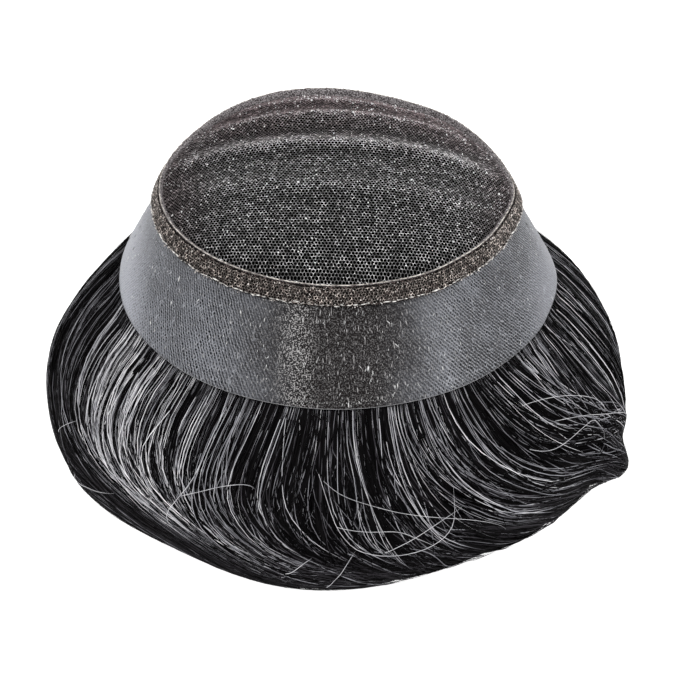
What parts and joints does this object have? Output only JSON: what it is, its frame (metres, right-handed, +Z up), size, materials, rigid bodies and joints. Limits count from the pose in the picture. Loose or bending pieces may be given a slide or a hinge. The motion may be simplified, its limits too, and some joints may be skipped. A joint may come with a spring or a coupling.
{
  "type": "toupee hairpiece",
  "caption": "Toupee turned inside out: domed lace crown, folded lace binding and flared clear film skirt over short combed salt-and-pepper hair.",
  "frame": {"origin": "middle of the footprint, on the surface that the hair stands on", "axes": "+Z up through the lace crown, X across the hairpiece, +Y towards its back, so the wearer's forehead edge faces -Y"},
  "size_m": [0.1988, 0.2404, 0.1015],
  "materials": {
    "lace": "dark brown-grey honeycomb net, dull",
    "binding": "doubled brown net folded over the edge, slightly sparkling",
    "film": "clear urethane film over dark net, smoky grey, soft gloss",
    "hair": "combed black hair with grey and white strands, soft shine"
  },
  "bodies": {
    "root": {"lace_crown": "lace", "lace_binding": "binding", "film_skirt": "film", "hair_mass": "hair"}
  },
  "joints": []
}
